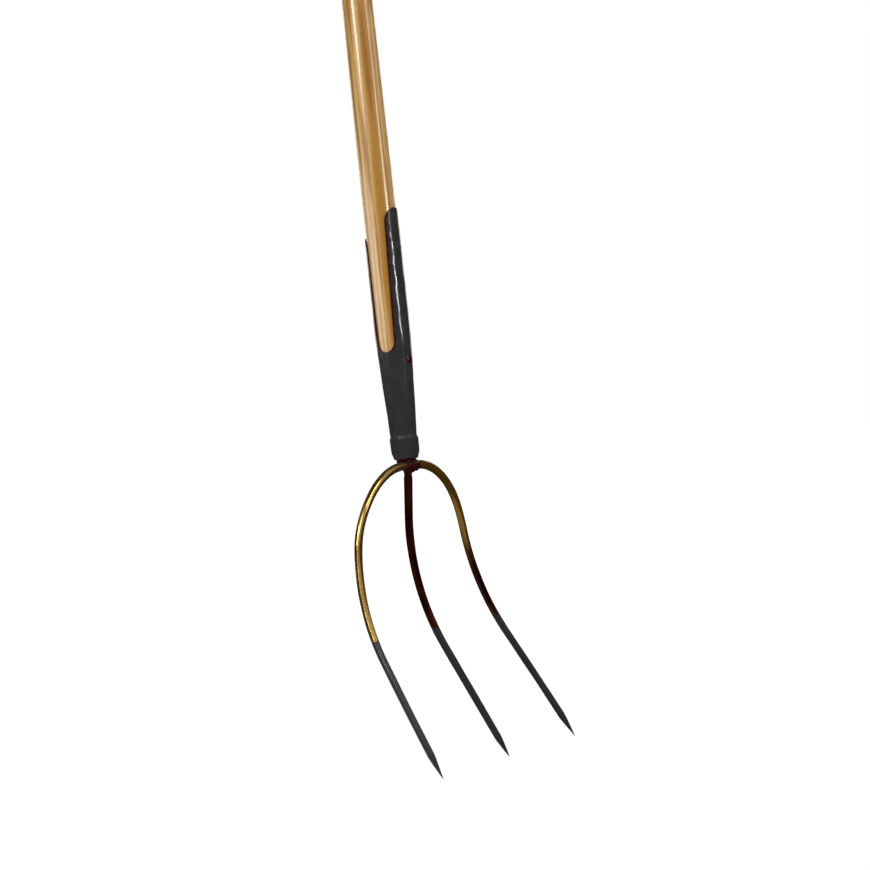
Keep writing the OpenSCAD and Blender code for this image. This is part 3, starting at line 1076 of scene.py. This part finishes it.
    def strap(self, middle: float, tip: float) -> list[Grid]:
        """Outer face, inner face and edges of one half of the socket with its strap.

        The faces stop short of the outline by edge_bulge. From there the edge swells, over a half
        turn from face to face, by edge_bulge times the sine to the power 0.6.

        Args:
            middle: Sign of Y on which the strap lies.
            tip: Level of its tip.

        Returns:
            Five grids that join on the strap's outline and on the mouth's.
        """
        reach, z = self.outline(tip)
        step = unit(np.stack([np.gradient(reach), np.gradient(z)], 1))
        normal = np.stack([step[:, 1], -step[:, 0]], 1)
        normal[0] = (0, 1)
        normal[-1] = (0, 1)
        bulge = self.edge_bulge
        inner_reach = reach - bulge * normal[:, 0]
        inner_reach[-1] = 0
        inner_z = z - bulge * normal[:, 1]
        cone = np.linspace(self.mouth + bulge, inner_z[0], 42)[:-1]
        rows_z = np.concatenate([cone, inner_z])
        rows_reach = np.concatenate([self.radius(cone) * math.pi / 2, inner_reach])
        share = np.linspace(-1, 1, self.columns + 1)
        face_reach = rows_reach[:, None] * share
        face_z = rows_z[:, None]
        to_edge = np.where(face_z > inner_z[0], rows_reach[:, None] - np.abs(face_reach), self.far_from_edge)
        # The dark red-brown fades over about worn from the edge: partly paint worn off the sheared edge,
        # partly painted shade of the gap between strap and handle.
        rim = np.exp(-to_edge / self.worn)
        grids = [self.sheet_grid(middle, face_reach, face_z, below, rim) for below in (0.0, self.sheet)]
        over = np.linspace(0, math.pi, self.rim_steps)
        swell = bulge * np.sin(over) ** 0.6
        swell[-1] = 0
        depth = self.sheet / 2 * (1 - np.cos(over))
        for sign in (-1, 1):
            edge_reach = sign * (inner_reach[:, None] + swell * normal[:, :1])
            edge_z = inner_z[:, None] + swell * normal[:, 1:]
            grids.append(self.sheet_grid(middle, edge_reach, edge_z, depth, 1.0))
        mouth_z = self.mouth + bulge - swell
        mouth_reach = self.radius(mouth_z) * math.pi / 2 * share[:, None]
        grids.append(self.sheet_grid(middle, mouth_reach, mouth_z, depth, 0.0))
        return grids

    def build(self, finish: DipPaint) -> None:
        """Makes both halves as one sheet and dresses it.

        Args:
            finish: The paint.
        """
        front = self.strap(-1.0, self.cone_top + self.front_strap)
        back = self.strap(1.0, self.cone_top + self.back_strap)
        place_piece(closed_mesh("painted_strap_socket", front + back, 50.0), "strap_socket",
                    finish.material())


@dataclass
class EndRing:
    """The band round the socket's mouth, with a lip under the socket's edge.

    It is band thick at the top and foot_band where it draws in by draw towards its foot, over the
    height taper. Its inner face lies gap outside the socket's, and inner is the lip's hole.
    """

    band: float = 1.1
    foot_band: float = 1.6
    draw: float = 1.9
    taper: float = 7.0
    soft: float = 0.7
    waist: float = 4.2
    shoulder: float = 3.2
    run_out: float = 0.85
    inner: float = 9.0
    gap: float = 0.05
    # How strongly the paint turns red-brown towards the ring's foot.
    worn: float = 0.62
    red_foot_height: float = 5.5
    sides: int = 96
    uneven: Uneven = Uneven(0.12, 13.0, 21)

    def profile(self) -> np.ndarray:
        """A closed loop: the lip's hole, the drawn-in foot, the band's outside, its top and its inside.

        The paint fills the corner over the band, so its top runs out in a soft shoulder, a smooth
        step inwards by run_out of the band.

        Returns:
            The profile's points, one to a row.
        """
        low, high = box_mm("end_ring")
        foot, top = low[2], high[2]
        full_r = CONE.mouth_r + self.foot_band
        foot_r = full_r - self.draw
        top_r = CONE.radius(top) + self.band
        lower = rounded((foot_r - self.soft, foot + self.soft), self.soft, -90, -15, 6)
        waist = rounded((full_r - self.waist, foot + self.taper), self.waist, -14, 0, 6)
        shoulder = np.linspace(0, 1, 12)
        upper = np.stack([top_r - self.band * self.run_out * ease(shoulder, 0, 1),
                          top - self.shoulder * (1 - shoulder)], 1)
        return np.concatenate([
            [[self.inner, foot]], lower, waist,
            np.linspace((full_r, foot + self.taper), (top_r, top - self.shoulder), 10)[1:-1],
            upper,
            [[top_r - self.band + self.gap, top], [CONE.mouth_r + self.gap, CONE.mouth],
             [self.inner, CONE.mouth], [self.inner, foot]]])

    def build(self, finish: DipPaint) -> None:
        """Turns the ring, a little uneven as a hammered band is, and dresses it.

        Args:
            finish: The paint, which turns red-brown in patches towards the ring's foot.
        """
        grid = lathed(self.profile(), self.sides, self.uneven)
        foot = grid.points[..., 2].min()
        # The paint turns red-brown in patches, most at the foot.
        mark = self.worn * ease(grid.points[..., 2], foot + self.red_foot_height, foot)
        place_piece(closed_mesh("painted_mouth_ring", [Grid(grid.points, grid.places, mark)]), "end_ring",
                    finish.material())


@dataclass
class RootWeld:
    """The weld metal of one side, run round the root of an outer tine and into the crown.

    It is length long from the middle and thick at the crown, over a film on the bar. One bead of
    height bead stands at bead_place of its length. The scales are ripples that froze in it.
    """

    side: Side
    lines: TineLines
    length: float = 12.6
    sunk: float = 0.2
    thick: float = 2.3
    film: float = 0.25
    bead: float = 0.6
    bead_place: float = 0.62
    bead_width: float = 0.12
    scale: float = 0.22
    scales: int = 5
    scale_lag: float = 0.12
    end_draw: float = 0.4
    roof: float = 5.7
    steps: int = 56
    sides: int = 72
    uneven: Uneven = Uneven(0.45, 3.6, 31)

    def radii(self, share: np.ndarray) -> np.ndarray:
        """Radius of the spindle, which thins outwards along the tine.

        At share s and turn t it is the bar's plus film, thick (1 + cos pi s) / 2, a round bead, and
        (1 - s) scale cos 2 pi (scales s + scale_lag cos t) for the scales that the weld froze in.
        Its last six rings draw in to the bar.

        Args:
            share: Shares of the weld's length.

        Returns:
            The radius at each share and turn.
        """
        turn = np.linspace(0, FULL_TURN, self.sides + 1)
        swell = self.thick * (1 + np.cos(math.pi * share)) / 2
        bead = self.bead * np.exp(-((share - self.bead_place) / self.bead_width) ** 2)
        wave = share[:, None] * self.scales + self.scale_lag * np.cos(turn)
        scales = self.scale * np.cos(FULL_TURN * wave) * (1 - share[:, None])
        radii = self.lines.thick / 2 + self.film + (swell + bead)[:, None] + scales
        radii[-6:] -= np.linspace(0, 1, 6)[:, None] ** 2 * self.end_draw
        return radii

    def mesh(self) -> bpy.types.Mesh:
        """Carries the radii along the tine's root and closes both ends.

        No part of it stands higher than roof, which is just under the ring's foot.

        Returns:
            The weld's mesh.
        """
        share = np.linspace(0, 1, self.steps)
        x = self.side.value * (share * (self.length + self.sunk) - self.sunk)
        y = np.full_like(x, -self.lines.neck_set - self.lines.outer_set)
        path = np.stack([x, y, 0 * x], 1)
        along = np.tile([float(self.side.value), 0.0, 0.0], (len(x) + 2, 1))
        radii = self.radii(share)
        path = np.concatenate([path[:1], path, path[-1:]])
        radii = np.concatenate([0 * radii[:1], radii, 0 * radii[-1:]])
        grid = swept(path, along, (0.0, 1.0, 0.0), radii, self.sides, self.uneven)
        grid.points[..., 2] = np.minimum(grid.points[..., 2], self.roof)
        return closed_mesh(f"{self.side.name.lower()}_weld_bead", [grid], 60.0)

    def build(self, finish: WeldLacquer) -> None:
        """Makes the weld and dresses it."""
        place_piece(self.mesh(), f"{self.side.name.lower()}_weld", finish.material())


@dataclass
class StrapRivet:
    """A rivet along Y, whose heads are formed down onto the curved straps."""

    node: str
    socket: StrapSocket
    shank: float = 5.0
    shank_in: float = 3.0
    head: float = 9.4
    dome: float = 1.0
    under: float = 0.3
    bevel: float = 0.2
    worn: float = 0.9
    flat_worn: float = 0.55
    rim_width: float = 0.5
    sides: int = 48
    uneven: Uneven = Uneven(0.12, 5.0, 41)

    def half_profile(self) -> np.ndarray:
        """Reach from the rivet's axis and height above the strap, from the dome's middle to the shank.

        At share q of the head's radius the dome is dome (1 - q squared) to the power 0.6 high.

        Returns:
            The profile's points, one to a row.
        """
        bend = np.radians(np.linspace(0, 90, 12))
        head_r = self.head / 2
        dome = np.stack([head_r * np.sin(bend), self.dome * np.cos(bend) ** 1.2], 1)
        below = [[head_r - self.bevel, -self.under], [self.shank / 2, -self.under],
                 [self.shank / 2, -self.shank_in]]
        return np.concatenate([dome, below])

    def grid(self) -> Grid:
        """Turns the profile at both ends of the rivet and joins the two halves at the shank.

        Each head is bent onto its strap, whose face falls away from the seat as the socket's circle
        does, by seat less the root of seat squared less x squared. The paint is worn most on the
        heads' rims, and by flat_worn of that on the rest.

        Returns:
            The rivet's surface.
        """
        low, high = box_mm(self.node)
        level = (low[2] + high[2]) / 2
        seat = float(self.socket.radius(np.array(level)))
        reach, height = self.half_profile().T
        on_strap = np.arange(len(reach)) < len(reach) - 1
        turn = np.linspace(0, FULL_TURN, self.sides + 1)
        x = reach[:, None] * np.cos(turn)
        z = level + reach[:, None] * np.sin(turn)
        fall = (np.sqrt(seat ** 2 - x ** 2) - seat) * on_strap[:, None]
        halves = []
        for sign in (-1, 1):
            points = np.stack([x, sign * (seat + fall + height[:, None]), z], -1)
            points[..., 1] += sign * self.uneven.lift(points) * (height[:, None] > 0)
            halves.append(points)
        points = np.concatenate([halves[0], halves[1][::-1]])
        past_rim = np.abs(np.concatenate([reach, reach[::-1]]) - self.head / 2)
        rim = self.worn * (self.flat_worn + (1 - self.flat_worn) * np.exp(-past_rim / self.rim_width))
        return Grid(points, points[..., [0, 2]], np.broadcast_to(rim[:, None], points.shape[:2]))

    def build(self, finish: DipPaint) -> None:
        """Makes the rivet and dresses it."""
        mesh = closed_mesh(f"{self.node}_formed", [self.grid()], 50.0)
        place_piece(mesh, self.node, finish.material())


@dataclass
class PhotoCamera:
    """A camera at the photograph's viewing angle, turned a little, far off with a long lens.

    azimuth and elevation say where it stands, and roll how far it is turned on its axis. It aims
    aim_right and aim_up of the origin.
    """

    azimuth: float = -60.0
    elevation: float = -0.222
    roll: float = 6.107
    distance: float = 2397.75
    pixels_per_mm: float = 1.11
    picture: float = 870.0
    aim_right: float = 28.138
    aim_up: float = 24.728
    sensor: float = 36.0
    clip_end: float = 100.0

    @property
    def back(self) -> Vector:
        """Direction from the object to the camera."""
        a, e = math.radians(self.azimuth), math.radians(self.elevation)
        return Vector((math.sin(a) * math.cos(e), -math.cos(a) * math.cos(e), math.sin(e)))

    @property
    def right(self) -> Vector:
        """Level direction to the right of the picture, before the roll."""
        a = math.radians(self.azimuth)
        return Vector((math.cos(a), math.sin(a), 0))

    def build(self) -> None:
        """Makes the camera the scene's own.

        Its lens makes one millimetre at the object pixels_per_mm pixels of the 870 wide picture.
        """
        up = self.back.cross(self.right)
        roll = math.radians(self.roll)
        turned_right = self.right * math.cos(roll) - up * math.sin(roll)
        turned_up = self.right * math.sin(roll) + up * math.cos(roll)
        data = bpy.data.cameras.new("photo_camera")
        data.sensor_width = self.sensor
        data.lens = self.sensor * self.distance * self.pixels_per_mm / self.picture
        data.clip_end = self.clip_end
        camera = bpy.data.objects.new("photo_camera", data)
        turn = Matrix((turned_right, turned_up, self.back)).transposed().to_4x4()
        aim = self.right * self.aim_right + up * self.aim_up
        camera.matrix_world = Matrix.Translation((aim + self.back * self.distance) * MM) @ turn
        bpy.context.scene.collection.objects.link(camera)
        bpy.context.scene.camera = camera


@dataclass(frozen=True)
class Lamp:
    """A softbox that faces the object, upright unless rise hangs it above.

    bearing is counted from the camera to its right, and low and high are levels above the origin, or
    above the middle of a box that hangs at a rise. brightness is the radiance of its face, where 1
    is the white of the picture. A mirrored lamp shows in gloss and adds no light. The others light
    the object and do not show in gloss.
    """

    name: str
    bearing: float
    width: float
    low: float
    high: float
    brightness: float
    away: float = 1600.0
    mirrored: bool = True
    rise: float = 0.0


# Name, bearing, width, low, high and brightness, and for the unmirrored lamps their distance.
LAMPS = (
    Lamp("key_box", -11, 400, 880, 2200, 8.0),
    Lamp("arch_box", 50, 1160, -140, 140, 9.0, rise=57.0),
    Lamp("left_panel", -79, 2240, 90, 450, 2.8),
    Lamp("left_strip", -37, 420, 570, 1300, 13.0),
    Lamp("low_right_strip", 59, 190, 185, 314, 120.0),
    Lamp("high_right_strip", 61, 220, 400, 1300, 5.0),
    Lamp("rear_left_strip", -150, 260, 120, 700, 3.0),
    Lamp("rear_right_strip", 155, 200, 120, 700, 5.0),
    Lamp("key_light", -35, 1800, 200, 2000, 2.8, 2300, False),
    Lamp("right_light", 70, 1500, 200, 2000, 1.7, 2300, False),
    Lamp("rear_light", 180, 1800, 200, 2000, 1.6, 2300, False),
)


@dataclass(frozen=True)
class Flag:
    """A level black card beside the set. It keeps a lamp's mirror image off what lies below it."""

    name: str
    bearings: tuple[float, float]
    reach: tuple[float, float]
    level: float


FLAGS = (
    Flag("left_flag", (-116.0, -42.0), (260.0, 1560.0), 82.0),
    Flag("right_flag", (47.0, 71.0), (300.0, 1560.0), 82.0),
)


@dataclass
class Studio:
    """A pale floor, plain soft lamps, a silk hung high in front, and dark felt round the set."""

    camera: PhotoCamera
    world_light: float = 0.55
    floor_gap: float = 0.3
    floor_fade: tuple[float, float] = (700.0, 2600.0)
    felt_away: float = 2700.0
    felt_glow: float = 0.03
    table_glow: float = 0.42
    table_fade: tuple[float, float] = (1300.0, 300.0)
    table_bearing: float = -30.0
    table_spread: tuple[float, float] = (115.0, 80.0)
    silk_away: float = 2400.0
    silk_glow: float = 0.5
    silk_bearings: tuple[float, float] = (-84.0, 128.0)
    silk_bearing_edge: float = 20.0
    silk_rises: tuple[float, float] = (8.0, 66.0)
    silk_rise_edge: float = 12.0

    def ways(self, bearings: np.ndarray, rises: np.ndarray) -> np.ndarray:
        """Directions from the middle of the set, by the angles of a compass laid at the camera.

        A direction is cos rise (cos bearing ahead + sin bearing right) + sin rise up.

        Args:
            bearings: Degrees from the camera to its right.
            rises: Degrees above the level.

        Returns:
            A direction for each pair of angles.
        """
        ahead = np.array(self.camera.back) * np.array([1, 1, 0])
        ahead /= np.linalg.norm(ahead)
        bearing, rise = np.radians(bearings)[..., None], np.radians(rises)[..., None]
        level = np.cos(bearing) * ahead + np.sin(bearing) * np.array(self.camera.right)
        return np.cos(rise) * level + np.sin(rise) * np.array([0, 0, 1])

    def add_lamp(self, lamp: Lamp) -> None:
        """Adds one area lamp. Its power is brightness times pi times its area in square metres.

        Args:
            lamp: The softbox.
        """
        height = lamp.high - lamp.low
        way = Vector(self.ways(np.array(lamp.bearing), np.array(lamp.rise)))
        data = bpy.data.lights.new(lamp.name, "AREA")
        data.shape = "RECTANGLE"
        data.size = lamp.width * MM
        data.size_y = height * MM
        data.energy = lamp.brightness * math.pi * data.size * data.size_y
        light = bpy.data.objects.new(lamp.name, data)
        light.location = (way * lamp.away + Vector((0, 0, lamp.low + height / 2))) * MM
        light.rotation_mode = "QUATERNION"
        light.rotation_quaternion = (-way).to_track_quat("-Z", "Y")
        light.visible_camera = False
        light.visible_glossy = lamp.mirrored
        light.visible_diffuse = not lamp.mirrored
        bpy.context.scene.collection.objects.link(light)
        LOG.info("lamp %s at bearing %s", lamp.name, lamp.bearing)

    def seen_share(self, tree: bpy.types.NodeTree) -> bpy.types.Node:
        """Tells what the camera sees, straight, mirrored or through something clear, from the rest.

        Args:
            tree: The node tree of the world or of a material.

        Returns:
            A node that gives 1 for what is seen so, and 0 otherwise.
        """
        path = add_node(tree, "LightPath").outputs
        mirrored = add_node(tree, "Math", {0: path["Is Camera Ray"], 1: path["Is Glossy Ray"]},
                            operation="MAXIMUM")
        return add_node(tree, "Math", {0: mirrored, 1: path["Is Transmission Ray"]}, operation="MAXIMUM")

    def build_world(self) -> None:
        """A world that is white where it is seen and a plain grey light otherwise."""
        world = bpy.data.worlds.new("white_studio")
        bpy.context.scene.world = world
        world.use_nodes = True
        tree = world.node_tree
        strength = add_node(tree, "MapRange", {"Value": self.seen_share(tree), "To Min": self.world_light,
                                               "To Max": 1.0})
        feed(tree, tree.nodes["Background"], {"Strength": strength, "Color": WHITE})

    def bare_material(self, name: str) -> tuple[bpy.types.Material, bpy.types.NodeTree, bpy.types.Node]:
        """Makes a material for the set, without the Principled shader.

        Args:
            name: The material's name.

        Returns:
            The material, its node tree and its output node.
        """
        material, tree, shader = new_finish(name)
        tree.nodes.remove(shader)
        return material, tree, tree.nodes["Material Output"]

    def stage_piece(self, name: str, grid: Grid, material: bpy.types.Material,
                    hidden: tuple[str, ...] = ()) -> None:
        """Makes a part of the set from one grid.

        Args:
            name: The name of the object and its mesh.
            grid: Its surface.
            material: Its material.
            hidden: The kinds of rays that pass it by.
        """
        mesh = closed_mesh(name, [grid])
        piece = add_object(mesh, material)
        for rays in hidden:
            setattr(piece, f"visible_{rays}", False)
        LOG.info("set piece %s: %d faces", name, len(mesh.polygons))

    def build_floor(self) -> float:
        """A pale round floor just under the tines, a polar grid that is white where it is seen.

        A small share of it takes the lamps' light, so that the fork's soft shadow stays on it. Far
        from the fork, where the lamps' light is weak, its own glow makes up for that.

        Returns:
            The floor's level.
        """
        low = box_mm("left_tine")[0][2] - self.floor_gap
        reach = np.array([0.0, 400, 900, 1500, 2500, 6000, 30000])
        grid = lathed(np.stack([reach, np.full_like(reach, low)], 1), SET_SIDES)
        mark = np.broadcast_to(ease(reach, *self.floor_fade)[:, None], grid.mark.shape)
        material, tree, output = self.bare_material("pale_floor")
        far = add_node(tree, "Attribute", attribute_name="mark").outputs["Fac"]
        strength = add_node(tree, "MapRange", {"Value": far, "To Min": 0.9, "To Max": 1.0})
        plain = add_node(tree, "BsdfDiffuse", {"Color": (0.7, 0.7, 0.7, 1)})
        faint = add_node(tree, "BsdfDiffuse", {"Color": (0.16, 0.16, 0.16, 1)})
        glow = add_node(tree, "Emission", {"Strength": strength, "Color": WHITE})
        lit = add_node(tree, "AddShader", {0: glow, 1: faint})
        mix = add_node(tree, "MixShader", {0: self.seen_share(tree), 1: plain, 2: lit})
        feed(tree, output, {"Surface": mix})
        self.stage_piece("pale_floor", Grid(grid.points, grid.places, mark), material)
        return low

    def build_walls(self, floor: float) -> None:
        """Felt and silk that only gloss sees. They keep the fork's edges dark and its steel golden.

        The felt is a dome with a table cloth that is paler under the fork. The silk is a piece of a
        ball, a little nearer, that spans the given bearings and rises and fades at its edges.

        Args:
            floor: The floor's level.
        """
        material, tree, output = self.bare_material("felt_and_silk")
        glow = add_node(tree, "Attribute", attribute_name="mark").outputs["Fac"]
        feed(tree, output, {"Surface": add_node(tree, "Emission", {"Strength": glow, "Color": WHITE})})
        rise = np.radians(np.linspace(0, 90, 24))
        level = floor + 1
        dome = np.stack([self.felt_away * np.cos(rise), level + self.felt_away * np.sin(rise)], 1)
        cloth = np.linspace(0, self.felt_away, 40)
        table = np.stack([cloth, np.full_like(cloth, level)], 1)
        grid = lathed(np.concatenate([table, dome[1:]]), SET_SIDES)
        above = np.concatenate([ease(cloth, *self.table_fade), np.zeros(len(dome) - 1)])
        over = grid.points @ np.stack([np.array(self.camera.right), np.array(self.camera.back)], 1)
        bearing = np.degrees(np.arctan2(over[..., 0], over[..., 1]))
        lit = above[:, None] * ease(np.abs(bearing - self.table_bearing), *self.table_spread)
        felt = Grid(grid.points, grid.places, self.felt_glow + (self.table_glow - self.felt_glow) * lit)
        bearings, rises = np.broadcast_arrays(np.linspace(*self.silk_bearings, 60)[None, :],
                                              np.linspace(*self.silk_rises, 40)[:, None])
        inside = 1.0
        for angles, ends, edge in ((rises, self.silk_rises, self.silk_rise_edge),
                                   (bearings, self.silk_bearings, self.silk_bearing_edge)):
            inside = inside * ease(angles, ends[0], ends[0] + edge) * ease(angles, ends[1], ends[1] - edge)
        silk = Grid(self.silk_away * self.ways(bearings, rises), np.stack([bearings, rises], -1),
                    self.felt_glow + (self.silk_glow - self.felt_glow) * inside)
        for name, wall in (("dark_felt", felt), ("front_silk", silk)):
            self.stage_piece(name, wall, material, ("camera", "diffuse", "shadow", "transmission"))

    def build_flags(self) -> None:
        """Hangs the black cards: flat pieces of a ring round the fork, seen only by gloss."""
        material, tree, output = self.bare_material("black_card")
        feed(tree, output, {"Surface": add_node(tree, "BsdfDiffuse", {"Color": (0.01, 0.01, 0.01, 1)})})
        for flag in FLAGS:
            bearings, reach = np.broadcast_arrays(np.linspace(*flag.bearings, 12)[:, None],
                                                  np.linspace(*flag.reach, 6)[None, :])
            points = self.ways(bearings, 0 * bearings) * reach[..., None] + np.array([0, 0, flag.level])
            grid = Grid(points, np.stack([bearings, reach], -1), 0 * reach)
            self.stage_piece(flag.name, grid, material, ("camera", "diffuse", "transmission"))

    def build(self) -> None:
        """Sets up the world, the floor, the felt and silk, the flags and the lamps."""
        self.build_world()
        self.build_walls(self.build_floor())
        self.build_flags()
        for lamp in LAMPS:
            self.add_lamp(lamp)
        bpy.context.scene.view_settings.view_transform = "Standard"


def main() -> None:
    """Builds the camera, the fork's pieces from the handle down, and the studio."""
    logging.basicConfig(level=logging.INFO, format="%(name)s: %(message)s")
    camera = PhotoCamera()
    camera.build()
    lines = TineLines()
    AshHandle().build(TurnedAsh())
    socket = StrapSocket()
    socket.build(DipPaint())
    EndRing().build(DipPaint())
    CentreForging(lines).build(DARK_SHADED_FORGING)
    for side, finish in ((Side.LEFT, GOLDEN_BAR), (Side.RIGHT, RED_BROWN_SHADED_BAR)):
        OuterTine(side, lines).build(finish)
        RootWeld(side, lines).build(WeldLacquer())
    for node, worn in (("upper_rivet", 0.2), ("lower_rivet", 1.25)):
        StrapRivet(node, socket, worn=worn).build(DipPaint())
    Studio(camera).build()


if __name__ == "__main__":
    main()
